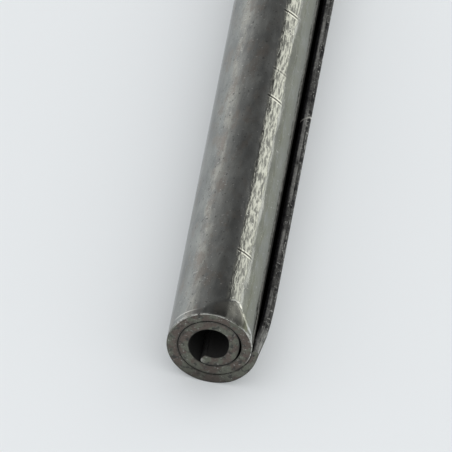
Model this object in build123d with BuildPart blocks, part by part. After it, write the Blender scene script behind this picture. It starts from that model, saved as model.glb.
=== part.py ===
"""Spiral pin: one strip of spring steel rolled into a springy coil, lying on its side.

Sizes are in millimetres. The axis of the coil runs along Y through the origin, which is
halfway along the pin. X points right and Z points up. The strip is wound clockwise, seen
from the -Y end, from its sprung outer edge at the right to its inner edge in the core.
"""

import os
from math import cos, pi, radians, sin

from build123d import *

# Driving dimensions
pin_length = 60.0
strip_thickness = 0.9
strip_edge_radius = 0.25  # the long edges of the strip are rounded off
turn_clearance = 0.05  # room between one turn and the next
core_radius = 1.24  # from the axis to the inside of the strip at its inner edge
coil_turns = 2.33  # from the outer edge of the strip to the inner one

# The outer edge springs away from the turn below it
lip_angle = 5.0  # degrees above the horizontal through the axis
lip_lift = 0.26
lip_span_share = 0.25  # of a turn

# The innermost turn bends away from its neighbour and leaves a crescent-shaped gap
crescent_gap = 0.15
crescent_turns = 2.0  # where the gap is widest, counted from the outer edge
crescent_half_share = 0.14  # of a turn, to each side of the widest place

# Both ends are swaged, so that the pin starts easily in its hole
nose_length = 2.5
nose_drop = 0.72  # from the sprung outer edge in to the rim of the end face
closing_length = 6.0  # over which the sprung edge is drawn in towards an end
overrun = 0.05

# Finish of the curves
points_per_turn = 16
edge_limit_share = 0.45  # of the strip's thickness, the most that its edges are rounded

# Worked out
half_length = pin_length / 2
pitch = strip_thickness + turn_clearance
seam_radius = core_radius + strip_thickness + pitch * coil_turns
lip_radius = seam_radius + lip_lift
rounding = min(strip_edge_radius, edge_limit_share * strip_thickness)


def outside_radius(turn, lift):
    """Radius of the strip's outer surface, so many turns in from its outer edge."""
    spring = max(0, 1 - turn / lip_span_share) ** 2
    beside = min(1, abs(turn - crescent_turns) / crescent_half_share)
    bend = (1 - beside**2) ** 2
    return seam_radius - pitch * turn + lift * spring - crescent_gap * bend


def coil_point(turn, lift, depth):
    """Point of the coil at a depth under the strip's outer surface."""
    angle = radians(lip_angle) - 2 * pi * turn
    radius = outside_radius(turn, lift) - depth
    return (radius * cos(angle), radius * sin(angle))


def coil_section(station, lift):
    """Section across the coiled strip at a station along the pin."""
    steps = round(coil_turns * points_per_turn)
    turns = [coil_turns * step / steps for step in range(steps + 1)]
    outside = [coil_point(turn, lift, 0) for turn in turns]
    inside = [coil_point(turn, lift, strip_thickness) for turn in turns]
    with BuildSketch(Plane.XZ.offset(-station)) as section:
        with BuildLine():
            Spline(*outside)
            Line(outside[-1], inside[-1])
            Spline(*reversed(inside))
            Line(inside[0], outside[0])
        make_face()
        fillet(section.vertices(), radius=rounding)
    return section.sketch


# The coil: drawn in at both ends, with its outer edge sprung free in between
free_from = half_length - closing_length
sections = [
    coil_section(-half_length, 0),
    coil_section(-free_from, lip_lift),
    coil_section(free_from, lip_lift),
    coil_section(half_length, 0),
]

with BuildPart() as spiral_pin:
    loft(sections, ruled=True)

    # The swaged ends: the coil keeps only what lies within a round bar with rounded ends
    bar_radius = lip_radius + overrun
    end_radius = lip_radius - nose_drop
    with BuildSketch(Plane.XY) as bar:
        with BuildLine() as bar_line:
            Line((0, 0), (bar_radius, 0))
            side = Line((bar_radius, 0), (bar_radius, nose_length - half_length))
            nose = TangentArc(side @ 1, (end_radius, -half_length), tangent=side % 1)
            Polyline(nose @ 1, (0, -half_length), (0, 0))
        make_face()
        mirror(about=Plane.XZ)
    revolve(axis=Axis.Y, mode=Mode.INTERSECT)

spiral_pin.part.label = "spiral_pin"

os.makedirs("parts", exist_ok=True)
export_step(spiral_pin.part, "parts/spiral_pin.step")

box = spiral_pin.part.bounding_box()
print(f"across the sprung edge {2 * seam_radius + lip_lift - pitch / 2:.2f} mm")
print(f"across the end face {2 * end_radius:.2f} mm")
print(f"lowest point {box.min.Z:.4f}, box {box.size.X:.2f} x {box.size.Y:.2f} x {box.size.Z:.2f} mm")
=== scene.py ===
# %% [markdown]
# # A spiral pin in Blender
# A spiral pin is a strip of spring steel, rolled up on itself a little more than twice. It is driven
# into a hole that is slightly too small, so that the coil winds tighter and grips the wall. This lesson
# rolls the strip with Geometry Nodes, gives it the worn and oily steel of a used pin, and pictures it on
# white paper, with its near end towards the camera.
#
# The imported CAD model is loaded first, because it fixes the size and the place of everything else. Its
# box is kept.

# %% Load the frame
import math

import bmesh
import bpy
from mathutils import Matrix, Vector


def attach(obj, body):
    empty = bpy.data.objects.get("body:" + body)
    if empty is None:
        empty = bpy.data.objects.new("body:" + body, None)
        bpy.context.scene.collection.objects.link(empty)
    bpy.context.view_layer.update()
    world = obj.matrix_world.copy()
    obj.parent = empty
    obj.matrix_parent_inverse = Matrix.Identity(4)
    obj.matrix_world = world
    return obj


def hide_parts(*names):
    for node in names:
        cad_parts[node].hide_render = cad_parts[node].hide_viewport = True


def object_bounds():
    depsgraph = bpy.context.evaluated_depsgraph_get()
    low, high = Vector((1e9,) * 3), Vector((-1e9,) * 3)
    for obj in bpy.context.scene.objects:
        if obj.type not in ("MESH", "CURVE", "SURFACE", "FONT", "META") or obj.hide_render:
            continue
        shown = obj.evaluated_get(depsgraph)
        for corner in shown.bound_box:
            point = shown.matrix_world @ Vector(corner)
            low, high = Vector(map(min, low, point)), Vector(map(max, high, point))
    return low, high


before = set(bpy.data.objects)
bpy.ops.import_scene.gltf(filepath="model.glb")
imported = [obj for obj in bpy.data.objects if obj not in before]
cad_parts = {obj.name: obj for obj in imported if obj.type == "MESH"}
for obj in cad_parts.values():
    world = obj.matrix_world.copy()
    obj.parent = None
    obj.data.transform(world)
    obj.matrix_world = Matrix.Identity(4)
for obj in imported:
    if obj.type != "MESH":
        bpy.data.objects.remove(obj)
cad_low, cad_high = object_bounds()
print("CAD box in mm:", [round(1000 * (high - low), 2) for low, high in zip(cad_low, cad_high)])

# %% [markdown]
# ## Sizes
# A maker would write these sizes on the drawing of the pin, and the CAD model has the same ones. They
# are in millimetres, and `mm` turns them into Blender's metres where they are used. The pin lies along
# Y with its axis through the origin, X is to the right and Z is up.
#
# A place on the strip is given in turns, counted from its outer edge. That edge is called the lip here,
# because it springs away from the coil. Angles are in degrees.

# %% The drawing's sizes
mm = 0.001
pin_length = 60.0
strip_thickness = 0.9
turn_clearance = 0.05
core_radius = 1.24
coil_turns = 2.33
lip_angle = 5.0
lip_lift = 0.26
lip_span = 0.25
crescent_gap = 0.15
crescent_turn = 2.0
crescent_half = 0.14
overrun = 0.05
print("strip", strip_thickness, "mm thick,", coil_turns, "turns, pin", pin_length, "mm long")

# %% [markdown]
# ## Finer forms
# Some forms are a tenth of a millimetre or two. They don't change how the pin fits or rolls, so the CAD
# model has them plainer or leaves them out, but light shows them. The used pin has softer strip edges
# than the drawing, a longer nose that is nearer to a cone, and a lip that stays shut for a little way at
# each end. The swaging die has also pressed a narrow chamfer and a flat facet into the top of the rim.
#
# All of these bend the steel inwards or take some of it away. The pin therefore stays inside the box of
# the CAD model.

# %% The finer sizes
strip_edge_radius = 0.36
end_break = 0.035
ragged_edge = 0.05
nose_length = 4.05
nose_drop = 0.68
nose_curve = 0.81
die_opening = 3.9
die_curve = 1.6
closing_length = 7.4
closed_length = 1.7
burr_length = 0.15
burr_share = 0.94
rim_slope = 0.09
rim_length = 0.62
facet_length = 2.5
print("nose", nose_length, "mm long and", nose_drop, "mm deep, facet", facet_length, "mm long")

# %% [markdown]
# ## Helpers for node trees
# A node tree that is built in a script is a long list of small sums. A few helpers keep it readable:
# `feed` puts a number or another node's output into a socket, `calc` adds a Math node, and `vector` adds
# a Vector Math node. Each returns the output of the node that it made, so a formula can be written from
# the inside out, as on paper. Nodes could also be wired by hand in the editor, but a script can be read,
# compared and run again.

# %% Node helpers
def feed(tree, socket, value):
    """Puts a number, a vector or another node's output into a socket."""
    if isinstance(value, bpy.types.NodeSocket):
        tree.links.new(value, socket)
    else:
        socket.default_value = value


def add_node(tree, kind, inputs=(), **settings):
    """Adds a node, sets its own settings, then feeds its sockets by name."""
    node = tree.nodes.new(kind)
    for name, value in settings.items():
        setattr(node, name, value)
    for name, value in dict(inputs).items():
        feed(tree, node.inputs[name], value)
    return node


def calc(tree, operation, *values):
    """One sum as a Math node."""
    node = add_node(tree, "ShaderNodeMath", operation=operation)
    for socket, value in zip(node.inputs, values):
        feed(tree, socket, value)
    return node.outputs[0]


def vector(tree, operation, *values):
    """One sum as a Vector Math node."""
    node = add_node(tree, "ShaderNodeVectorMath", operation=operation)
    for socket, value in zip(node.inputs, values):
        feed(tree, socket, value)
    return node.outputs[0]


def join_xyz(tree, x, y, z):
    """Makes a vector from three numbers."""
    return add_node(tree, "ShaderNodeCombineXYZ", {"X": x, "Y": y, "Z": z}).outputs[0]


def split_xyz(tree, value):
    """Gives the three numbers of a vector, by their letters."""
    return add_node(tree, "ShaderNodeSeparateXYZ", {"Vector": value}).outputs


print("helpers ready: feed, add_node, calc, vector, join_xyz, split_xyz")

# %% [markdown]
# ## The tree and its inputs
# The sizes become named inputs of the Geometry Nodes tree, so that a pin of another size needs new
# numbers only. The sizes that follow from them, such as the width of the strip, are worked out inside
# the tree. The width comes from the coil: the mean radius of all the turns, times the angle.

# %% Start the tree with its named inputs
tree = bpy.data.node_groups.new("Roll the strip", "GeometryNodeTree")
tree.interface.new_socket("Geometry", in_out="INPUT", socket_type="NodeSocketGeometry")
tree.interface.new_socket("Geometry", in_out="OUTPUT", socket_type="NodeSocketGeometry")
pin_sizes = {
    "Length": pin_length * mm,
    "Thickness": strip_thickness * mm,
    "Edge radius": strip_edge_radius * mm,
    "End break": end_break * mm,
    "Ragged edge": ragged_edge * mm,
    "Clearance": turn_clearance * mm,
    "Core radius": core_radius * mm,
    "Turns": coil_turns,
    "Lip angle": math.radians(lip_angle),
    "Lip lift": lip_lift * mm,
    "Lip span": lip_span,
    "Crescent gap": crescent_gap * mm,
    "Crescent turn": crescent_turn,
    "Crescent half": crescent_half,
    "Closing length": closing_length * mm,
    "Closed length": closed_length * mm,
    "Nose length": nose_length * mm,
    "Nose drop": nose_drop * mm,
    "Nose curve": nose_curve,
    "Overrun": overrun * mm,
    "Die opening": die_opening * mm,
    "Die curve": die_curve,
    "Burr length": burr_length * mm,
    "Burr share": burr_share,
    "Rim slope": rim_slope,
    "Rim length": rim_length * mm,
    "Facet length": facet_length * mm,
}
for name in pin_sizes:
    tree.interface.new_socket(name, in_out="INPUT", socket_type="NodeSocketFloat")
tree.interface.new_socket("Finish", in_out="INPUT", socket_type="NodeSocketMaterial")
given = add_node(tree, "NodeGroupInput").outputs
print("the tree has", len(pin_sizes), "named sizes and a finish")

# %% The sizes that follow from them
pitch = calc(tree, "ADD", given["Thickness"], given["Clearance"])
wound = calc(tree, "MULTIPLY", pitch, given["Turns"])
seam_radius = calc(tree, "ADD", calc(tree, "ADD", given["Core radius"], given["Thickness"]), wound)
half_thickness = calc(tree, "MULTIPLY", given["Thickness"], 0.5)
half_length = calc(tree, "MULTIPLY", given["Length"], 0.5)
mean_radius = calc(tree, "SUBTRACT", seam_radius, half_thickness)
mean_of_all = calc(tree, "SUBTRACT", mean_radius, calc(tree, "MULTIPLY", wound, 0.5))
strip_width = calc(tree, "MULTIPLY", calc(tree, "MULTIPLY", mean_of_all, given["Turns"]), math.tau)
half_width = calc(tree, "MULTIPLY", strip_width, 0.5)
print("strip width from the mean radius of the coil")

# %% [markdown]
# ## The flat strip
# The real pin starts as a flat strip with rounded long edges, so the tree starts there too. It could be
# a curve with a bevel, but a bevel can't be rolled and thinned as one solid. A Cube node with many
# vertices is closed from the start and has clean rows of faces on every side, on the end faces too.
#
# Its corners are rounded with a known trick: each point is pulled to the nearest point of a smaller box
# inside, then pushed out again by the rounding radius. The direction of that push is the direction that
# the surface of the flat strip faces. It tells the rolled faces, the sheared edges and the sawn ends
# apart, and the tree keeps it as attributes for the steel.
#
# The rows of points are closer together at both ends and at both edges, where the form changes most.

# %% A block of points
rows_across, rows_along, rows_through = 241, 151, 9
block = add_node(tree, "GeometryNodeMeshCube")
feed(tree, block.inputs["Size"], (2.0, 2.0, 2.0))
feed(tree, block.inputs["Vertices X"], rows_across)
feed(tree, block.inputs["Vertices Y"], rows_along)
feed(tree, block.inputs["Vertices Z"], rows_through)

middle_rows, middle_share = 0.6, 0.9
quarter = math.pi / 2
unit = split_xyz(tree, add_node(tree, "GeometryNodeInputPosition").outputs[0])
across = calc(tree, "SINE", calc(tree, "MULTIPLY", unit["X"], quarter))
row = calc(tree, "ABSOLUTE", unit["Y"])
middle_part = calc(tree, "MULTIPLY", calc(tree, "MINIMUM", row, middle_rows), middle_share / middle_rows)
end_row = calc(tree, "MAXIMUM", calc(tree, "SUBTRACT", row, middle_rows), 0.0)
end_part = calc(tree, "SINE", calc(tree, "MULTIPLY", end_row, quarter / (1.0 - middle_rows)))
along = calc(tree, "MULTIPLY_ADD", end_part, 1.0 - middle_share, middle_part)
along = calc(tree, "MULTIPLY", along, calc(tree, "SIGN", unit["Y"]))
print("block:", rows_across, "x", rows_along, "x", rows_through, "rows of points")

# %% The strip as a rounded box
half_sizes = join_xyz(tree, half_width, half_length, half_thickness)
radii = join_xyz(tree, given["Edge radius"], given["End break"], given["Edge radius"])
square = vector(tree, "MULTIPLY", join_xyz(tree, across, along, unit["Z"]), half_sizes)
inner = vector(tree, "SUBTRACT", half_sizes, radii)
nearest = vector(tree, "MINIMUM", square, inner)
nearest = vector(tree, "MAXIMUM", nearest, vector(tree, "MULTIPLY", inner, (-1.0, -1.0, -1.0)))
outward = vector(tree, "DIVIDE", vector(tree, "SUBTRACT", square, nearest), radii)
facing = vector(tree, "NORMALIZE", outward)
rounded = vector(tree, "ADD", nearest, vector(tree, "MULTIPLY", facing, radii))
print("flat strip with edges of", strip_edge_radius, "mm radius")

# %% Keep what the later steps need
def keep(geometry, name, value, kind="FLOAT", where="POINT"):
    """Stores a value under a name, for each point, face or corner."""
    settings = {"data_type": kind, "domain": where}
    inputs = {"Geometry": geometry, "Name": name, "Value": value}
    return add_node(tree, "GeometryNodeStoreNamedAttribute", inputs, **settings).outputs["Geometry"]


faces = split_xyz(tree, facing)
flat = split_xyz(tree, rounded)
from_top = calc(tree, "SUBTRACT", half_thickness, flat["Z"])
block_side = add_node(tree, "GeometryNodeInputNormal").outputs[0]
strip = keep(block.outputs["Mesh"], "strip_side", block_side, "FLOAT_VECTOR", "FACE")
strip = keep(strip, "sheared_edge", calc(tree, "ABSOLUTE", faces["X"]))
strip = keep(strip, "sawn_end", calc(tree, "ABSOLUTE", faces["Y"]))
strip = keep(strip, "from_lip", calc(tree, "ADD", flat["X"], half_width))
strip = keep(strip, "station", flat["Y"])
strip = keep(strip, "depth_share", calc(tree, "DIVIDE", from_top, given["Thickness"]))
flat_strip = add_node(tree, "GeometryNodeSetPosition", {"Geometry": strip, "Position": rounded})
print("kept: strip_side, sheared_edge, sawn_end, from_lip, station, depth_share")

# %% [markdown]
# ## Rolling it up
# A roll is a spiral: in each turn the radius falls by the strip's thickness and a little room. The strip
# keeps its width while it is rolled, so the turn that a point reaches comes from the arc length of the
# spiral, which is solved with a square root. A Simple Deform modifier can bend a strip too, but only
# round a circle, where the turns would run through each other.
#
# Shears leave a slightly ragged edge, so a noise along the pin bites a few hundredths of a millimetre
# out of it. Two more departures make it this pin. The lip springs away from the turn below and stands
# proud, but is pressed shut at both ends. The innermost turn bends in at one place and leaves a gap that
# is shaped like a crescent.

# %% The turn that each point reaches
def named(name, kind="FLOAT"):
    """Reads a stored value."""
    node = add_node(tree, "GeometryNodeInputNamedAttribute", {"Name": name}, data_type=kind)
    return node.outputs["Attribute"]


bites_per_mm, bite_detail = 1.6, 4.0
bite_level = 0.35
edge_line = join_xyz(tree, 0.0, calc(tree, "DIVIDE", named("station"), mm), 0.0)
bite_inputs = {"Vector": edge_line, "Scale": bites_per_mm, "Detail": bite_detail}
edge_noise = add_node(tree, "ShaderNodeTexNoise", bite_inputs).outputs[0]
bite = calc(tree, "MAXIMUM", calc(tree, "SUBTRACT", edge_noise, bite_level), 0.0)
bite = calc(tree, "MULTIPLY", calc(tree, "MULTIPLY", bite, given["Ragged edge"]), named("sheared_edge"))
rolled_width = calc(tree, "ADD", named("from_lip"), bite)
used_up = calc(tree, "DIVIDE", calc(tree, "MULTIPLY", pitch, rolled_width), math.pi)
left_radius = calc(tree, "SQRT", calc(tree, "SUBTRACT", calc(tree, "POWER", mean_radius, 2.0), used_up))
turn = calc(tree, "DIVIDE", calc(tree, "SUBTRACT", mean_radius, left_radius), pitch)
angle = calc(tree, "SUBTRACT", given["Lip angle"], calc(tree, "MULTIPLY", turn, math.tau))
print("turn and angle follow from the distance to the lip")

# %% The sprung lip
from_end = calc(tree, "SUBTRACT", half_length, calc(tree, "ABSOLUTE", named("station")))
past_closed = calc(tree, "MAXIMUM", calc(tree, "SUBTRACT", from_end, given["Closed length"]), 0.0)
closing = calc(tree, "SUBTRACT", given["Closing length"], given["Closed length"])
opened_share = calc(tree, "MINIMUM", calc(tree, "DIVIDE", past_closed, closing), 1.0)
still_shut = calc(tree, "SUBTRACT", 1.0, opened_share)
free = calc(tree, "SUBTRACT", 1.0, calc(tree, "POWER", still_shut, 2.0))
left_of_span = calc(tree, "SUBTRACT", 1.0, calc(tree, "DIVIDE", turn, given["Lip span"]))
spring = calc(tree, "POWER", calc(tree, "MAXIMUM", left_of_span, 0.0), 2.0)
lifted = calc(tree, "MULTIPLY", calc(tree, "MULTIPLY", given["Lip lift"], free), spring)
print("the lip stands", lip_lift, "mm proud and closes over the last", closing_length, "mm")

# %% The crescent and the spiral
beside = calc(tree, "ABSOLUTE", calc(tree, "SUBTRACT", turn, given["Crescent turn"]))
beside = calc(tree, "MINIMUM", calc(tree, "DIVIDE", beside, given["Crescent half"]), 1.0)
bend = calc(tree, "POWER", calc(tree, "SUBTRACT", 1.0, calc(tree, "POWER", beside, 2.0)), 2.0)
bent_in = calc(tree, "MULTIPLY", given["Crescent gap"], bend)

outside = calc(tree, "SUBTRACT", seam_radius, calc(tree, "MULTIPLY", pitch, turn))
outside = calc(tree, "SUBTRACT", calc(tree, "ADD", outside, lifted), bent_in)
inside = calc(tree, "SUBTRACT", outside, given["Thickness"])
print("outside radius: an even spiral, plus the lip, less the crescent")

# %% [markdown]
# ## Swaged ends
# Both ends are swaged: a die has pressed them to a nose, so that the pin starts easily in its hole. The
# die is a tapered ring about the axis. It presses hardest on the lip, which stands out furthest, and
# opens along the strip from there. Cutting the mesh with a Boolean would leave long thin faces at the
# rim, so the tree moves the outer surface in to the die instead, and the strip gets thinner there. A
# smooth minimum of the two surfaces leaves a soft edge between them, as pressing does.
#
# The chamfer and the facet are pressed in the same way. The saw has dragged a small burr over the seam
# at the very end, so the seam is nearly shut on the end face.

# %% The die
die_softness = 0.05
bar_radius = calc(tree, "ADD", calc(tree, "ADD", seam_radius, given["Lip lift"]), given["Overrun"])
drop = calc(tree, "ADD", given["Nose drop"], given["Overrun"])
into_nose = calc(tree, "MAXIMUM", calc(tree, "SUBTRACT", given["Nose length"], from_end), 0.0)
nose_share = calc(tree, "DIVIDE", into_nose, given["Nose length"])
taper = calc(tree, "MULTIPLY", drop, calc(tree, "POWER", nose_share, given["Nose curve"]))
opened = calc(tree, "POWER", calc(tree, "MULTIPLY", turn, nose_share), given["Die curve"])
die = calc(tree, "SUBTRACT", bar_radius, taper)
die = calc(tree, "ADD", die, calc(tree, "MULTIPLY", given["Die opening"], opened))
swaged = calc(tree, "SMOOTH_MIN", outside, die, die_softness * mm)
print("the die presses the nose over the last", nose_length, "mm")

# %% The chamfer and the facet
rim_turns = (0.50, 0.57, 0.92, 0.96)
facet_turn, facet_left, facet_right, facet_curve = 0.822, 0.14, 0.09, 1.3
facet_softness, rim_softness = 0.20, 0.16


def rise(start, full):
    """Goes from 0 to 1 between two places along the strip, in turns."""
    share = calc(tree, "DIVIDE", calc(tree, "SUBTRACT", turn, start), full - start)
    return calc(tree, "MINIMUM", calc(tree, "MAXIMUM", share, 0.0), 1.0)


rim_start, rim_full, rim_last, rim_stop = rim_turns
chamfered = calc(tree, "MULTIPLY", rise(rim_start, rim_full), rise(rim_stop, rim_last))
chamfer = calc(tree, "MULTIPLY", given["Rim length"], chamfered)
left_of = calc(tree, "DIVIDE", calc(tree, "SUBTRACT", facet_turn, turn), facet_left)
right_of = calc(tree, "DIVIDE", calc(tree, "SUBTRACT", turn, facet_turn), facet_right)
off_facet = calc(tree, "MAXIMUM", left_of, right_of)
facet = calc(tree, "SUBTRACT", 1.0, calc(tree, "POWER", off_facet, facet_curve))
facet = calc(tree, "MULTIPLY", given["Facet length"], facet)
reach = calc(tree, "SMOOTH_MAX", chamfer, facet, facet_softness * mm)
flattened = calc(tree, "SMOOTH_MAX", calc(tree, "SUBTRACT", reach, from_end), 0.0, rim_softness * mm)
flattened = calc(tree, "MULTIPLY", flattened, calc(tree, "GREATER_THAN", reach, 0.0))
swaged = calc(tree, "SUBTRACT", swaged, calc(tree, "MULTIPLY", flattened, given["Rim slope"]))
print("chamfer", rim_length, "mm long, facet", facet_length, "mm long at", facet_turn, "turns")

# %% The rolled position
full_press = 0.08
pressed = calc(tree, "DIVIDE", calc(tree, "SUBTRACT", outside, swaged), full_press * mm)
burr = calc(tree, "SUBTRACT", 1.0, calc(tree, "DIVIDE", from_end, given["Burr length"]))
burr_height = calc(tree, "MULTIPLY", given["Clearance"], given["Burr share"])
burr = calc(tree, "MULTIPLY", calc(tree, "MAXIMUM", burr, 0.0), burr_height)
wall = calc(tree, "ADD", calc(tree, "SUBTRACT", swaged, inside), burr)
radius = calc(tree, "SUBTRACT", swaged, calc(tree, "MULTIPLY", wall, named("depth_share")))
rolled_x = calc(tree, "MULTIPLY", radius, calc(tree, "COSINE", angle))
rolled_z = calc(tree, "MULTIPLY", radius, calc(tree, "SINE", angle))
rolled = join_xyz(tree, rolled_x, named("station"), rolled_z)

kept_strip = keep(flat_strip.outputs["Geometry"], "turn", turn)
kept_strip = keep(kept_strip, "pressed", calc(tree, "MINIMUM", pressed, 1.0))
kept_strip = keep(kept_strip, "facet_reach", reach)
coil = add_node(tree, "GeometryNodeSetPosition", {"Geometry": kept_strip, "Position": rolled})
print("the coil is rolled and its ends are swaged")

# %% [markdown]
# ## A flat map of the strip
# When the pin is exported, its finish is painted into a square picture, and a UV map says which place on
# the steel gets which part of it. Blender can unwrap the coil by itself, but it would give the hidden
# turns as much room as the outside. The strip was flat before it was rolled, so its own width and length
# are a map without any stretching. Each of its six sides gets a rectangle of the square, and the turn
# that shows gets most of the room. The export looks for a map that is called OFBake.

# %% Lay out the map
shown_share, shown_room = 0.56, 0.92
sides = split_xyz(tree, named("strip_side", "FLOAT_VECTOR"))
depth = named("depth_share")
across_share = calc(tree, "DIVIDE", named("from_lip"), strip_width)
along_share = calc(tree, "ADD", calc(tree, "DIVIDE", named("station"), given["Length"]), 0.5)
shown = calc(tree, "MINIMUM", calc(tree, "DIVIDE", across_share, shown_share), 1.0)
hidden = calc(tree, "MAXIMUM", calc(tree, "SUBTRACT", across_share, shown_share), 0.0)
hidden = calc(tree, "MULTIPLY", hidden, (1.0 - shown_room) / (1.0 - shown_share))
mostly_shown = calc(tree, "MULTIPLY_ADD", shown, shown_room, hidden)
rectangles = [
    ("Z", 1.0, mostly_shown, along_share, (0.00, 0.13, 0.78, 0.87)),
    ("Z", -1.0, across_share, along_share, (0.79, 0.13, 0.13, 0.87)),
    ("X", -1.0, depth, along_share, (0.93, 0.13, 0.03, 0.87)),
    ("X", 1.0, depth, along_share, (0.97, 0.13, 0.03, 0.87)),
    ("Y", -1.0, across_share, depth, (0.0, 0.0, 1.0, 0.055)),
    ("Y", 1.0, across_share, depth, (0.0, 0.065, 1.0, 0.055)),
]
map_place = (0.0, 0.0, 0.0)
for axis, sign, over, up, (left, bottom, width, height) in rectangles:
    on_side = calc(tree, "GREATER_THAN", calc(tree, "MULTIPLY", sides[axis], sign), 0.5)
    over = calc(tree, "MULTIPLY", calc(tree, "MULTIPLY_ADD", over, width, left), on_side)
    up = calc(tree, "MULTIPLY", calc(tree, "MULTIPLY_ADD", up, height, bottom), on_side)
    map_place = vector(tree, "ADD", map_place, join_xyz(tree, over, up, 0.0))
mapped = keep(coil.outputs["Geometry"], "OFBake", map_place, "FLOAT2", "CORNER")
print("map of", len(rectangles), "rectangles")

# %% Finish the tree
smooth = add_node(tree, "GeometryNodeSetShadeSmooth", {"Geometry": mapped})
real = add_node(tree, "GeometryNodeRealizeInstances", {"Geometry": smooth.outputs["Geometry"]})
finish = add_node(tree, "GeometryNodeSetMaterial", {"Geometry": real.outputs["Geometry"]})
feed(tree, finish.inputs["Material"], given["Finish"])
add_node(tree, "NodeGroupOutput", {"Geometry": finish.outputs["Geometry"]})
print("tree:", len(tree.nodes), "nodes")

# %% [markdown]
# ## The steel
# Spring steel that was hardened in oil is a dull dark grey with a little olive and brown in it. Use has
# rubbed this pin along its top, where bare steel shows as bright flakes. That band also lies where the
# window's reflection falls, so it is partly a painted highlight. Its sheared edges and sawn ends are
# rough and nearly black. There is painted shade in the gap and the core, and there are painted
# highlights on the rim, the lip and the tip. A painted picture could show all that, but only at one
# size and with one pattern of wear. Here one metal shader does it, and the tree's attributes say where
# each finish is.
#
# The patterns are noise in the strip's own millimetres. The grain therefore runs along the pin, as it
# was rolled, and follows the strip round the coil. The cut faces have no grain, so their noise is in the
# pin's millimetres.

# %% The strip's own millimetres
steel = bpy.data.materials.new("spring_steel")
steel.use_nodes = True
metal = steel.node_tree
metal.nodes.clear()
through_scale = 7.0


def attribute(name):
    """Reads a value that the tree has kept."""
    return add_node(metal, "ShaderNodeAttribute", attribute_name=name).outputs["Fac"]


def in_mm(value):
    """Turns metres into millimetres."""
    return calc(metal, "DIVIDE", value, mm)


turn_of = attribute("turn")
depth_of = attribute("depth_share")
sheared = attribute("sheared_edge")
sawn = attribute("sawn_end")
station = in_mm(attribute("station"))
to_end = calc(metal, "SUBTRACT", pin_length / 2, calc(metal, "ABSOLUTE", station))
past_facet = calc(metal, "SUBTRACT", to_end, in_mm(attribute("facet_reach")))
through = calc(metal, "MULTIPLY", depth_of, through_scale)
strip_place = join_xyz(metal, in_mm(attribute("from_lip")), station, through)
print("the steel reads the strip's own millimetres")

# %% Grain that follows the strip
def strip_noise(across, along, detail, roughness):
    """Noise with a grain of so many millimetres across and along the strip."""
    stretched = vector(metal, "DIVIDE", strip_place, (across, along, 1.0))
    inputs = {"Vector": stretched, "Scale": 1.0, "Detail": detail, "Roughness": roughness}
    return add_node(metal, "ShaderNodeTexNoise", inputs).outputs["Fac"]


flake = strip_noise(0.18, 1.1, 2.0, 0.6)
pits = strip_noise(0.22, 0.45, 1.0, 0.5)
cloud = strip_noise(0.7, 2.6, 4.0, 0.65)
tarnish = strip_noise(1.3, 3.0, 4.0, 0.7)
stain = strip_noise(1.5, 3.5, 5.0, 0.6)
swell = strip_noise(1.5, 6.0, 2.0, 0.5)
print("grains along the strip: flake, pits, cloud, tarnish, stain, swell")

# %% Grain of the cut faces
pin_place = add_node(metal, "ShaderNodeTexCoord").outputs["Object"]
pin_place = vector(metal, "DIVIDE", pin_place, (mm, mm, mm))


def cut_noise(per_mm, detail):
    """Noise with so many grains in a millimetre, the same in all directions."""
    inputs = {"Vector": pin_place, "Scale": per_mm, "Detail": detail}
    return add_node(metal, "ShaderNodeTexNoise", inputs).outputs["Fac"]


patch = cut_noise(0.32, 3.0)
blotch = cut_noise(0.9, 3.0)
grit = cut_noise(2.2, 5.0)
speck = cut_noise(4.5, 1.0)
dust = cut_noise(5.0, 0.0)
print("grains of the cut faces: patch, blotch, grit, speck, dust")

# %% [markdown]
# ## Where each finish lies
# A mask is a number from 0 to 1 that says how much of a finish a place has. `spread` makes one from any
# other number, with soft limits, and `between` makes one with a start and an end. Masks that are
# multiplied hold only where all of them do. An image could be painted as a mask by hand, but these keep
# their places when the pin gets another size.
#
# Depths are shares of the strip's thickness, places along the strip are turns from the lip, and
# distances from an end are millimetres. Levels are values of a noise, at which a finish starts and is
# full.

# %% Mask helpers
def spread(value, low, high, to_low=0.0, to_high=1.0):
    """Maps one range on to another, smoothly and no further."""
    node = add_node(metal, "ShaderNodeMapRange", interpolation_type="SMOOTHSTEP")
    for socket, number in zip(node.inputs, (value, low, high, to_low, to_high)):
        feed(metal, socket, number)
    return node.outputs["Result"]


def all_of(*masks):
    """Holds where all the masks hold."""
    result = masks[0]
    for mask in masks[1:]:
        result = calc(metal, "MULTIPLY", result, mask)
    return result


def any_of(*masks):
    """Holds where one of the masks holds."""
    result = masks[0]
    for mask in masks[1:]:
        result = calc(metal, "MAXIMUM", result, mask)
    return result


def between(value, start, full, last, stop):
    """Rises between the first two places and falls between the last two."""
    return all_of(spread(value, start, full), spread(value, stop, last))


print("mask helpers ready: spread, all_of, any_of, between")

# %% Skin, cut faces and nose
skin_depth = (0.20, 0.10)
end_facing = (0.05, 0.25)
edge_facing = (0.10, 0.40)
nose_turns = (0.45, 0.30)

skin = spread(depth_of, *skin_depth)
end_cut = spread(sawn, *end_facing)
edge_cut = spread(sheared, *edge_facing)
nose = all_of(attribute("pressed"), spread(turn_of, *nose_turns))
cut = any_of(end_cut, edge_cut, nose)
print("masks: skin, cut faces, nose")

# %% Painted shade in the gap under the lip, and in the core
# Painted shade: the steel deep in the gap under the lip and the inner turns get little light, so they
# are made near black.
gap_turns = (0.938, 0.955, 1.05, 1.15)
gap_start = (0.3, 0.8)
ragged_shade = 0.04
shade_retreat, retreat_start = 0.014, (5.5, 3.5)
core_turns = (1.05, 1.20)
not_the_end = (0.6, 0.3)

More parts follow.
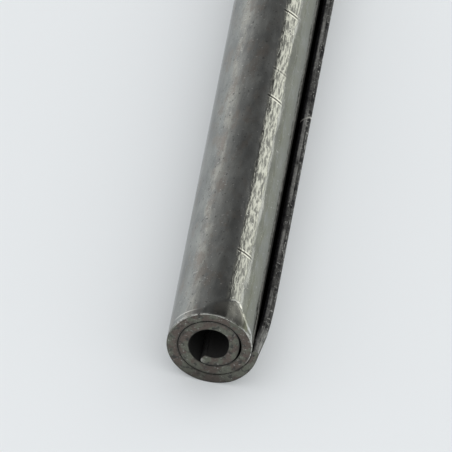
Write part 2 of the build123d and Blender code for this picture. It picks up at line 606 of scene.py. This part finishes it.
ragged_border = calc(metal, "MULTIPLY_ADD", grit, ragged_shade, -ragged_shade / 2)
retreat = spread(to_end, *retreat_start, 0.0, shade_retreat)
shade_turn = calc(metal, "SUBTRACT", calc(metal, "ADD", turn_of, ragged_border), retreat)
gap = all_of(between(shade_turn, *gap_turns), skin, spread(to_end, *gap_start))
core = any_of(all_of(spread(turn_of, *core_turns), spread(sawn, *not_the_end)), gap)
print("masks: grime in the gap under the lip, core")

# %% Worn top with a painted highlight, facet and rim
worn_turns = (0.776, 0.803, 0.830, 0.860)
worn_start = (0.0, 0.25)
worn_fade = (2.5, 11.0)
worn_shift = 0.008
flake_weight = 1.3
flake_limits = (0.95, 1.30)
band_edge = (0.0, 0.1)
facet_turns = (0.72, 0.76, 0.90, 0.94)
facet_depth = (0.0, -0.3)
rim_depth = (0.16, 0.06)
rim_range = (0.50, 0.62, 1.0, 1.1)
rim_width = (0.16, 0.07)
not_flat_end = (0.97, 0.85)

# The worn band lies where the window's reflection falls, so its flakes are partly wear and partly a
# painted highlight. Near the ends worn_shift moves it with the highlight.
worn_turn = calc(metal, "ADD", turn_of, spread(to_end, *worn_fade, worn_shift, 0.0))
worn_highlight_band = all_of(between(worn_turn, *worn_turns), skin, spread(past_facet, *worn_start))
broken_up = calc(metal, "MULTIPLY_ADD", flake, flake_weight, worn_highlight_band)
worn_and_highlight = all_of(spread(broken_up, *flake_limits), spread(worn_highlight_band, *band_edge))
in_facet = all_of(between(turn_of, *facet_turns), skin, spread(past_facet, *facet_depth))
top_edge = all_of(spread(depth_of, *rim_depth), between(turn_of, *rim_range))
rim = all_of(top_edge, spread(to_end, *rim_width), spread(sawn, *not_flat_end))
print("masks: worn band, worn flakes, facet, rim")

# %% Creases of the chamfer and the facet, painted as highlights
left_crease_width, left_crease_turns = (0.10, 0.03), (0.70, 0.65)
right_crease_width, right_crease_turns = (0.26, 0.10), (0.818, 0.84)
off_rim = (0.1, 0.2)

from_crease = calc(metal, "ABSOLUTE", past_facet)
left_crease = all_of(spread(from_crease, *left_crease_width), spread(turn_of, *left_crease_turns))
right_crease = all_of(spread(from_crease, *right_crease_width), spread(turn_of, *right_crease_turns))
crease_highlight = all_of(top_edge, spread(to_end, *off_rim), any_of(left_crease, right_crease))
print("masks: two creases, worn bright")

# %% [markdown]
# ## Colours of the rolled face
# A metal shader takes its colour from the steel, so these colours are how much light the steel throws
# back. The clean steel throws back about a third. Bare flakes throw back more, and pits less. The band
# of flakes lies where the window's reflection falls and gets duller towards both ends, as the
# highlight does, so it is partly wear and partly a painted highlight. The side beside the lip has an
# olive film of oil, painted darker next to the gap as shade. A lighter streak on the left is a painted
# reflection of the bright side of the room. The facet is painted darker towards the end as shade. The
# finishes are laid over each other one by one.

# %% Mix helper and plain steel
def blend(share, first, second):
    """Mixes two colours by a mask."""
    node = add_node(metal, "ShaderNodeMix", data_type="RGBA")
    feed(metal, node.inputs["Factor"], share)
    feed(metal, node.inputs[6], first)
    feed(metal, node.inputs[7], second)
    return node.outputs[2]


clean_steel = (0.36, 0.368, 0.352, 1.0)
dull_steel = (0.265, 0.272, 0.265, 1.0)
stain_levels = (0.33, 0.68)
rolled_colour = blend(spread(stain, *stain_levels), clean_steel, dull_steel)
print("plain steel with stains")

# %% Worn flakes with a painted highlight, and the facet's painted shade
worn_dark = (0.15, 0.153, 0.143, 1.0)
bright_flake_highlight = (0.457, 0.463, 0.418, 1.0)
facet_shade_dark = (0.13, 0.13, 0.122, 1.0)
facet_shade_light = (0.35, 0.35, 0.32, 1.0)
flake_levels, least_bare = (0.37, 0.61), 0.68
facet_shade = (0.3, 1.7)

# Painted highlight: the bare flakes are brighter than clean steel and duller towards the ends.
bare_flakes_and_highlight = all_of(spread(flake, *flake_levels), spread(to_end, *worn_fade, least_bare, 1.0))
worn_highlight_colour = blend(bare_flakes_and_highlight, worn_dark, bright_flake_highlight)
# Painted shade: the facet is darker towards the end.
facet_shade_colour = blend(spread(to_end, *facet_shade), facet_shade_dark, facet_shade_light)
print("colours of the worn flakes and the facet")

# %% Painted reflection on the left, oil, and painted shade beside the gap
haze_reflection = (0.44, 0.445, 0.41, 1.0)
oil_film = (0.268, 0.274, 0.226, 1.0)
gap_side_shade = (0.165, 0.168, 0.138, 1.0)
haze_turns, haze_levels = (0.60, 0.645, 0.655, 0.70), (0.40, 0.62)
oil_turns, oil_levels, least_oil = (0.868, 0.892), (0.34, 0.60), 0.45
gap_side_shade_turns = (0.895, 0.970)

# Painted reflection: a lighter, mottled streak where the bright left side of the room is mirrored.
hazy_reflection = all_of(between(turn_of, *haze_turns), skin, spread(cloud, *haze_levels))
oily = all_of(spread(turn_of, *oil_turns), skin, spread(tarnish, *oil_levels, least_oil, 1.0))
# Painted shade: the oil film gets darker towards the gap.
shade_beside_gap = all_of(spread(turn_of, *gap_side_shade_turns), skin)
print("masks: haze, oil film, darker oil beside the gap")

# %% Tarnish, pits and dust
brown = (0.31, 0.292, 0.268, 1.0)
pit_grey = (0.17, 0.172, 0.165, 1.0)
dust_grey = (0.5, 0.5, 0.48, 1.0)
brown_turns, brown_levels = (0.80, 0.74), (0.48, 0.66)
pit_turns, pit_levels = (0.80, 0.76), (0.66, 0.74)
dust_levels = (0.75, 0.83)

tarnished = all_of(spread(tarnish, *brown_levels), skin, spread(turn_of, *brown_turns))
pitted = all_of(spread(pits, *pit_levels), skin, spread(turn_of, *pit_turns))
dusty = all_of(spread(dust, *dust_levels), skin)
print("masks: tarnish, pits, dust")

# %% Lay them over the steel
finishes = [
    (worn_and_highlight, worn_highlight_colour),
    (hazy_reflection, haze_reflection),
    (in_facet, facet_shade_colour),
    (oily, oil_film),
    (shade_beside_gap, gap_side_shade),
    (tarnished, brown),
    (pitted, pit_grey),
    (dusty, dust_grey),
]
for mask, finish_colour in finishes:
    rolled_colour = blend(mask, rolled_colour, finish_colour)
print("rolled face:", len(finishes), "finishes over the plain steel")

# %% [markdown]
# ## Colours of the cut faces
# A saw and shears tear the steel, and dirt and oil stay in the tears. The end faces are a dark olive
# with brown patches, darker beside the seam and towards the paper. The lip is nearly black, with a grey
# streak along its middle that is a painted highlight, where its edge face catches the light. The inside
# of the coil and the gap under the lip are painted nearly black as shade, and they aren't shaded as
# bare metal.

# %% End faces
olive = (0.19, 0.197, 0.164, 1.0)
patch_brown = (0.165, 0.139, 0.123, 1.0)
grit_dark = (0.086, 0.086, 0.082, 1.0)
speck_grey = (0.38, 0.38, 0.36, 1.0)
seam_dark = (0.105, 0.10, 0.09, 1.0)
shade_dark = (0.075, 0.07, 0.065, 1.0)
seam_depths = ((0.28, 0.0), (0.76, 1.0))
low_heights = (-3.9, -2.0)
low_share = 0.5
patch_levels, grit_levels, speck_levels = (0.44, 0.56), (0.50, 0.30), (0.62, 0.74)
seam_levels, below_top = (0.36, 0.54), (0.5, 0.0)

cut_colour = blend(spread(blotch, *patch_levels), olive, patch_brown)
cut_colour = blend(spread(grit, *grit_levels), cut_colour, grit_dark)
cut_colour = blend(spread(speck, *speck_levels), cut_colour, speck_grey)
at_seam = any_of(spread(depth_of, *seam_depths[0]), spread(depth_of, *seam_depths[1]))
at_seam = all_of(at_seam, spread(blotch, *seam_levels), spread(top_edge, *below_top))
cut_colour = blend(at_seam, cut_colour, seam_dark)
off_paper = spread(split_xyz(metal, pin_place)["Z"], *low_heights, low_share, 1.0)
cut_colour = blend(off_paper, shade_dark, cut_colour)
print("end faces: olive, brown, grit, specks, seam")

# %% The lip and its painted highlight streak
lip_dark = (0.055, 0.055, 0.058, 1.0)
lip_dull = (0.14, 0.14, 0.138, 1.0)
lip_highlight_grey = (0.50, 0.50, 0.488, 1.0)
dull_depths, dull_levels = (0.80, 0.66), (0.38, 0.52)
streak_depths = (0.32, 0.48, 0.63, 0.79)
streak_levels, least_streak = (0.42, 0.56), 0.2
cloudy_levels = (0.30, 0.50)
streak_end, end_levels = (4.0, 1.5), (0.3, 0.5)

dull = all_of(spread(depth_of, *dull_depths), spread(blotch, *dull_levels))
streak_pattern = all_of(spread(patch, *streak_levels, least_streak, 1.0), spread(cloud, *cloudy_levels))
# Painted highlight: a grey streak along the middle of the lip's edge face, where it catches the light,
# and in patches near the ends.
lip_streak_highlight = all_of(between(depth_of, *streak_depths), streak_pattern)
lip_streak_highlight = any_of(lip_streak_highlight, all_of(spread(to_end, *streak_end), spread(blotch, *end_levels)))
lip_colour = blend(dull, lip_dark, lip_dull)
lip_colour = blend(lip_streak_highlight, lip_colour, lip_highlight_grey)
print("lip: dark, duller patches, a grey streak")

# %% Specks, painted glints and a nick on the lip
lip_speck_and_glint = (0.62, 0.62, 0.60, 1.0)
nick_bright = (0.75, 0.75, 0.71, 1.0)
lip_speck_depths, lip_speck_levels = (0.8, 0.6), (0.62, 0.71)
glint_depths, glint_levels = (0.02, 0.10, 0.30, 0.45), (0.60, 0.70)
nick_station, nick_lean, nick_width = 0.9, 0.7, (0.16, 0.06)

lip_specks = all_of(spread(speck, *lip_speck_levels), spread(depth_of, *lip_speck_depths))
# Painted highlights: thin glints near the lip's outer edge.
glints = all_of(spread(flake, *glint_levels), between(depth_of, *glint_depths))
lip_colour = blend(any_of(lip_specks, glints), lip_colour, lip_speck_and_glint)
along_nick = calc(metal, "MULTIPLY_ADD", depth_of, nick_lean, station)
from_nick = calc(metal, "ABSOLUTE", calc(metal, "SUBTRACT", along_nick, nick_station))
lip_colour = blend(spread(from_nick, *nick_width), lip_colour, nick_bright)
print("lip: specks, glints and a nick at", nick_station, "mm")

# %% Put the colours together
core_shade_black = (0.028, 0.028, 0.027, 1.0)
gap_half_shade = (0.22, 0.217, 0.195, 1.0)
gap_full_shade = (0.022, 0.022, 0.02, 1.0)
gap_full_shade_turns = (0.946, 0.967)
off_the_end = (0.3, 0.1)

colour = blend(cut, rolled_colour, cut_colour)
colour = blend(all_of(edge_cut, spread(sawn, *off_the_end)), colour, lip_colour)
# Painted shade: the core and the gap under the lip are made near black.
colour = blend(core, colour, core_shade_black)
gap_colour = blend(spread(shade_turn, *gap_full_shade_turns), gap_half_shade, gap_full_shade)
colour = blend(gap, colour, gap_colour)
print("rolled face, end faces, lip, grime and core are one colour now")

# %% Painted highlights on the inner tip and the rim
tip_highlight_grey = (0.38, 0.38, 0.35, 1.0)
bare_steel_highlight = (0.66, 0.66, 0.62, 1.0)
tip_turns, tip_depths = (2.285, 2.315), (0.55, 0.35)
on_the_end, tip_levels = (0.1, 0.4), (0.42, 0.55)
rim_levels, crease_levels = (0.36, 0.5), (0.34, 0.46)
rim_breaks, least_rim = (0.42, 0.54), 0.35

tip = all_of(spread(turn_of, *tip_turns), spread(depth_of, *tip_depths), spread(sawn, *on_the_end))
# Painted highlight: a light spot on the tip of the inner turn.
colour = blend(all_of(tip, spread(grit, *tip_levels)), colour, tip_highlight_grey)
# The rim is partly worn bare and partly a painted highlight along its edge. The creases are painted
# highlights where they would mirror the window.
broken_rim_highlight = all_of(rim, spread(grit, *rim_levels), spread(blotch, *rim_breaks, least_rim, 1.0))
rim_and_crease_highlight = any_of(broken_rim_highlight, all_of(crease_highlight, spread(grit, *crease_levels)))
colour = blend(rim_and_crease_highlight, colour, bare_steel_highlight)
print("the tip of the inner turn and the rim are rubbed bare")

# %% [markdown]
# ## Score marks
# Something hard has scored the top of the pin in a few places, a little aslant. Each mark is a dark
# scratch with a bright ridge on both sides. They are far finer than the mesh, so they are drawn in the
# colour, only in the band where the window's reflection falls: the ridges are painted highlights and the
# scratch is the groove's painted shade. The distance from a slanting line gives the scratch, and its
# distance from a fixed width gives both ridges.

# %% Score marks
mark_turn, mark_lean = 0.83, 5.0
ridge_offset = 0.19
ridge_width, scratch_width = (0.10, 0.05), (0.11, 0.05)
mark_turns = (0.782, 0.792, 0.835, 0.860)
marks = [(-21.5, 1.0), (-1.3, 1.0), (2.3, 0.35), (10.0, 1.0)]
ridge_highlight_colour = (0.62, 0.62, 0.56, 1.0)
scratch_shade_colour = (0.06, 0.06, 0.055, 1.0)

on_top = all_of(between(turn_of, *mark_turns), skin)
from_mark_turn = calc(metal, "SUBTRACT", turn_of, mark_turn)
along_mark = calc(metal, "MULTIPLY_ADD", from_mark_turn, mark_lean, station)
for mark_station, strength in marks:
    from_mark = calc(metal, "ABSOLUTE", calc(metal, "SUBTRACT", along_mark, mark_station))
    from_ridge = calc(metal, "ABSOLUTE", calc(metal, "SUBTRACT", from_mark, ridge_offset))
    # Painted highlights on the ridges and painted shade in the scratch.
    ridge_highlights = all_of(spread(from_ridge, *ridge_width, 0.0, strength), on_top)
    scratch_shade = all_of(spread(from_mark, *scratch_width, 0.0, strength), on_top)
    colour = blend(ridge_highlights, colour, ridge_highlight_colour)
    colour = blend(scratch_shade, colour, scratch_shade_colour)
print(len(marks), "score marks across the top")

# %% [markdown]
# ## Relief and shine
# The rolled face isn't quite even: it swells by a few hundredths of a millimetre, and the worn band is
# crinkled, which breaks up the edge of the window's reflection. The cut faces are gritty. All of that is
# too fine for the mesh, so Bump nodes tilt the light instead. The rolled steel is fairly smooth, and the
# cut faces are rough.

# %% Relief
swell_height, crinkle_height, grit_height = 0.12, 0.024, 0.30
plain_crinkle, facet_crinkle = 0.4, 0.1
on_band = spread(worn_highlight_band, 0.0, 1.0, plain_crinkle, 1.0)
crinkle = all_of(flake, on_band, spread(in_facet, 0.0, 1.0, 1.0, facet_crinkle))
relief = add_node(metal, "ShaderNodeBump", {"Height": swell, "Distance": swell_height * mm})
fine = add_node(metal, "ShaderNodeBump", {"Height": crinkle, "Distance": crinkle_height * mm})
feed(metal, fine.inputs["Normal"], relief.outputs["Normal"])
rough = add_node(metal, "ShaderNodeBump", {"Height": all_of(grit, cut), "Distance": grit_height * mm})
feed(metal, rough.inputs["Normal"], fine.outputs["Normal"])
print("relief:", swell_height, "mm swell,", crinkle_height, "mm crinkle,", grit_height, "mm grit")

# %% Shader
smooth_steel, rough_steel = 0.13, 0.6
edge_shine, edge_tint = 0.1, (0.75, 0.75, 0.75, 1.0)
shader = add_node(metal, "ShaderNodeBsdfPrincipled")
feed(metal, shader.inputs["Base Color"], colour)
feed(metal, shader.inputs["Metallic"], calc(metal, "SUBTRACT", 1.0, core))
feed(metal, shader.inputs["Specular IOR Level"], edge_shine)
feed(metal, shader.inputs["Specular Tint"], edge_tint)
rough_share = calc(metal, "SUBTRACT", any_of(cut, core), rim)
feed(metal, shader.inputs["Roughness"], spread(rough_share, 0.0, 1.0, smooth_steel, rough_steel))
feed(metal, shader.inputs["Normal"], rough.outputs["Normal"])
add_node(metal, "ShaderNodeOutputMaterial", {"Surface": shader.outputs["BSDF"]})
print("finish", steel.name, "has", len(metal.nodes), "nodes")

# %% [markdown]
# ## Roll the pin
# The tree runs as a modifier on an empty object, with the sizes in its inputs. Its result is then made a
# plain mesh, because the frame wants pieces without live modifiers. A pin that isn't closed, or is
# inside out, would show up in the volume, so both are printed.

# %% Run the tree
pin = bpy.data.objects.new("coiled_pin", bpy.data.meshes.new("coiled_pin"))
bpy.context.scene.collection.objects.link(pin)
roll = pin.modifiers.new("Roll the strip", "NODES")
roll.node_group = tree
for item in tree.interface.items_tree:
    if item.in_out == "INPUT" and item.name in pin_sizes:
        roll[item.identifier] = pin_sizes[item.name]
    if item.in_out == "INPUT" and item.name == "Finish":
        roll[item.identifier] = steel

graph = bpy.context.evaluated_depsgraph_get()
made = bpy.data.meshes.new_from_object(pin.evaluated_get(graph), depsgraph=graph)
pin.modifiers.remove(roll)
pin.data = made
print("pin:", len(made.vertices), "points, maps", [layer.name for layer in made.uv_layers])

# %% Check that it is closed
shape = bmesh.new()
shape.from_mesh(made)
bmesh.ops.triangulate(shape, faces=shape.faces[:])
open_edges = sum(not edge.is_manifold for edge in shape.edges)
volume = round(shape.calc_volume() / mm ** 3)
print("triangles", len(shape.faces), "open edges", open_edges, "volume mm3", volume)
shape.free()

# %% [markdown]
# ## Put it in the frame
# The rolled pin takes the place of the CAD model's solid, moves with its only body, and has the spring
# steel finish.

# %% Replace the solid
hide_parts("spiral_pin")
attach(pin, "root")
print(pin.name, "stands for spiral_pin")

# %% [markdown]
# ## Paper
# The pin was photographed on white paper. One large square under it is enough. Its colour is a pale,
# slightly blue white. Close to the pin the paper in the picture is a little paler than the light makes
# it, so a small share of plain brightness is mixed in, for rays that come from the camera or from a
# reflection only. Such a share adds no light to the pin, and the pin's shadow stays.

# %% Lay the paper
floor_height = cad_low.z
half_floor = 3.0
floor_mesh = bpy.data.meshes.new("paper")
square_corners = [(-1, -1), (1, -1), (1, 1), (-1, 1)]
floor_points = [(x * half_floor, y * half_floor, floor_height) for x, y in square_corners]
floor_mesh.from_pydata(floor_points, [], [(0, 1, 2, 3)])
paper = bpy.data.objects.new("paper", floor_mesh)
bpy.context.scene.collection.objects.link(paper)

print("paper at height", round(floor_height / mm, 3), "mm")

# %% Colour it
paper_colour = (0.80, 0.83, 0.84, 1.0)
paper_roughness, paper_shine = 0.9, 0.2
paper_glow = (0.86, 0.885, 0.90, 1.0)
glow_share = 0.14


def seen_rays(tree):
    """Holds for rays that come from the camera or from a reflection."""
    rays = add_node(tree, "ShaderNodeLightPath").outputs
    seen = calc(tree, "MAXIMUM", rays["Is Camera Ray"], rays["Is Glossy Ray"])
    return calc(tree, "MAXIMUM", seen, rays["Is Transmission Ray"])


paper_white = bpy.data.materials.new("white_paper")
paper_white.use_nodes = True
sheet = paper_white.node_tree
matt = sheet.nodes["Principled BSDF"]
matt.inputs["Base Color"].default_value = paper_colour
matt.inputs["Roughness"].default_value = paper_roughness
matt.inputs["Specular IOR Level"].default_value = paper_shine
glow = add_node(sheet, "ShaderNodeEmission", {"Color": paper_glow})
lifted_share = calc(sheet, "MULTIPLY", seen_rays(sheet), glow_share)
lifted_white = add_node(sheet, "ShaderNodeMixShader", {"Fac": lifted_share})
feed(sheet, lifted_white.inputs[1], matt.outputs["BSDF"])
feed(sheet, lifted_white.inputs[2], glow.outputs["Emission"])
feed(sheet, sheet.nodes["Material Output"].inputs["Surface"], lifted_white.outputs["Shader"])
floor_mesh.materials.append(paper_white)
print("paper white with a glow of", glow_share)

# %% [markdown]
# ## Light
# Steel shows its surroundings more than its own colour, so its light is chosen by what the pin reflects.
# A weak soft box in front lifts the end face. A window pane stands where the worn top would mirror it
# into the camera, and makes the long highlight. Its place is worked out from the mirror rule: a surface
# that faces at an angle turns the line of sight by twice that angle. The room that the steel mirrors is
# bright near the floor and darker above, which gives the bright side and the dark band beside the
# highlight. To the right it is a little darker and warmer.
#
# Paper mirrors nothing. It only shows how much light reaches it, and in the picture the pin's shadow
# fades slowly on all sides and has no edge, as it does under an even sky. The world is therefore a
# plain dome, and the levels of the room are for rays from the camera or from a reflection.

# %% Soft box
box_place = Vector((0.0, -1.3, 2.0))
box_side = 3.0
box_power = 9.0
soft_light = bpy.data.lights.new("front_box", "AREA")
soft_light.size = box_side
soft_light.energy = box_power
soft_box = bpy.data.objects.new("front_box", soft_light)
soft_box.location = box_place
soft_box.rotation_euler = (-box_place).to_track_quat("-Z", "Y").to_euler()
bpy.context.scene.collection.objects.link(soft_box)
print("soft box of", box_side, "m,", box_power, "W")

# %% Window pane
view_angle = math.radians(41.5)
lit_facing = math.radians(65.2)
pane_distance = 2.0
pane_width, pane_height = 0.84, 0.70
pane_level = 0.98
pane_colour = (1.0, 1.0, 0.93)

swing = 2 * lit_facing
mirrored = Vector((math.sin(view_angle) * math.sin(swing), math.cos(view_angle), 0.0))
mirrored.z = -math.sin(view_angle) * math.cos(swing)
sideways = Vector((math.cos(swing), 0.0, math.sin(swing)))
pane_light = bpy.data.lights.new("window_pane", "AREA")
pane_light.shape = "RECTANGLE"
pane_light.size = pane_width
pane_light.size_y = pane_height
pane_light.energy = pane_level * math.pi * pane_width * pane_height
pane_light.color = pane_colour
pane = bpy.data.objects.new("window_pane", pane_light)
pane_axes = Matrix((sideways, mirrored.cross(sideways), mirrored)).transposed()
pane.matrix_world = Matrix.Translation(mirrored * pane_distance) @ pane_axes.to_4x4()
bpy.context.scene.collection.objects.link(pane)
print("pane at", [round(x, 2) for x in pane.location], "m,", round(pane_light.energy, 2), "W")

# %% Levels of the room
wall_levels = [(0.0, 0.86), (0.2, 0.75), (0.33, 0.53), (0.44, 0.41)]
wall_levels += [(0.55, 0.31), (0.62, 0.235), (0.68, 0.14), (1.0, 0.14)]

world = bpy.data.worlds.new("room")
bpy.context.scene.world = world
world.use_nodes = True
room = world.node_tree
direction = split_xyz(room, add_node(room, "ShaderNodeTexCoord").outputs["Generated"])
walls = add_node(room, "ShaderNodeValToRGB", {"Fac": direction["Z"]})
while len(walls.color_ramp.elements) < len(wall_levels):
    walls.color_ramp.elements.new(0.5)
for stop, (height, level) in zip(walls.color_ramp.elements, wall_levels):
    stop.position = height
    stop.color = (level, level, level, 1.0)
print("room with", len(wall_levels), "levels from the floor up")

# %% Darker right side, and the dome
right_limits = (0.56, 0.66)
right_tint = (0.78, 0.80, 0.70, 1.0)
dome_colour = (0.875, 0.874, 0.886, 1.0)

rightward = add_node(room, "ShaderNodeMapRange", interpolation_type="SMOOTHSTEP")
feed(room, rightward.inputs["Value"], direction["X"])
feed(room, rightward.inputs["From Min"], right_limits[0])
feed(room, rightward.inputs["From Max"], right_limits[1])
tinted = add_node(room, "ShaderNodeMix", data_type="RGBA", blend_type="MULTIPLY")
feed(room, tinted.inputs["Factor"], rightward.outputs["Result"])
feed(room, tinted.inputs[6], walls.outputs["Color"])
feed(room, tinted.inputs[7], right_tint)
around = add_node(room, "ShaderNodeMix", data_type="RGBA")
feed(room, around.inputs["Factor"], seen_rays(room))
feed(room, around.inputs[6], dome_colour)
feed(room, around.inputs[7], tinted.outputs[2])
feed(room, room.nodes["Background"].inputs["Color"], around.outputs[2])
print("an even dome lights the paper, and the steel mirrors the room")

# %% [markdown]
# ## Camera
# The photograph looks along the pin from above its near end, and the camera was tilted a little. The
# angle comes from the near end's ellipse, and the scale and the place from where that end is in the
# picture. A long lens from far away keeps both sides of the pin parallel, as they are there. Blender can
# also match a camera by eye, but four measured numbers can be checked.

# %% Place the camera
lean = math.radians(11.15)
distance = 1.5
picture_width = 452
pixels_per_mm = 11.88
near_end_pixel = (212.2, 346.0)
nearest_seen, furthest_seen = 0.1, 10.0

towards = Vector((0.0, -math.cos(view_angle), math.sin(view_angle)))
level_right = Vector((1.0, 0.0, 0.0))
level_up = towards.cross(level_right)
right = level_right * math.cos(lean) + level_up * math.sin(lean)
up = level_up * math.cos(lean) - level_right * math.sin(lean)
offset_right = (near_end_pixel[0] - picture_width / 2) / pixels_per_mm * mm
offset_up = (picture_width / 2 - near_end_pixel[1]) / pixels_per_mm * mm
near_end = Vector((0.0, -pin_length / 2 * mm, 0.0))
eye = near_end + towards * distance - right * offset_right - up * offset_up

lens_data = bpy.data.cameras.new("camera")
lens_data.lens = pixels_per_mm * distance / mm * lens_data.sensor_width / picture_width
lens_data.clip_start = nearest_seen
lens_data.clip_end = furthest_seen
camera = bpy.data.objects.new("camera", lens_data)
camera_axes = Matrix((right, up, towards)).transposed()
camera.matrix_world = Matrix.Translation(eye) @ camera_axes.to_4x4()
bpy.context.scene.collection.objects.link(camera)
bpy.context.scene.camera = camera
bpy.context.scene.view_settings.view_transform = "Standard"
print("lens", round(lens_data.lens), "mm at", distance, "m")
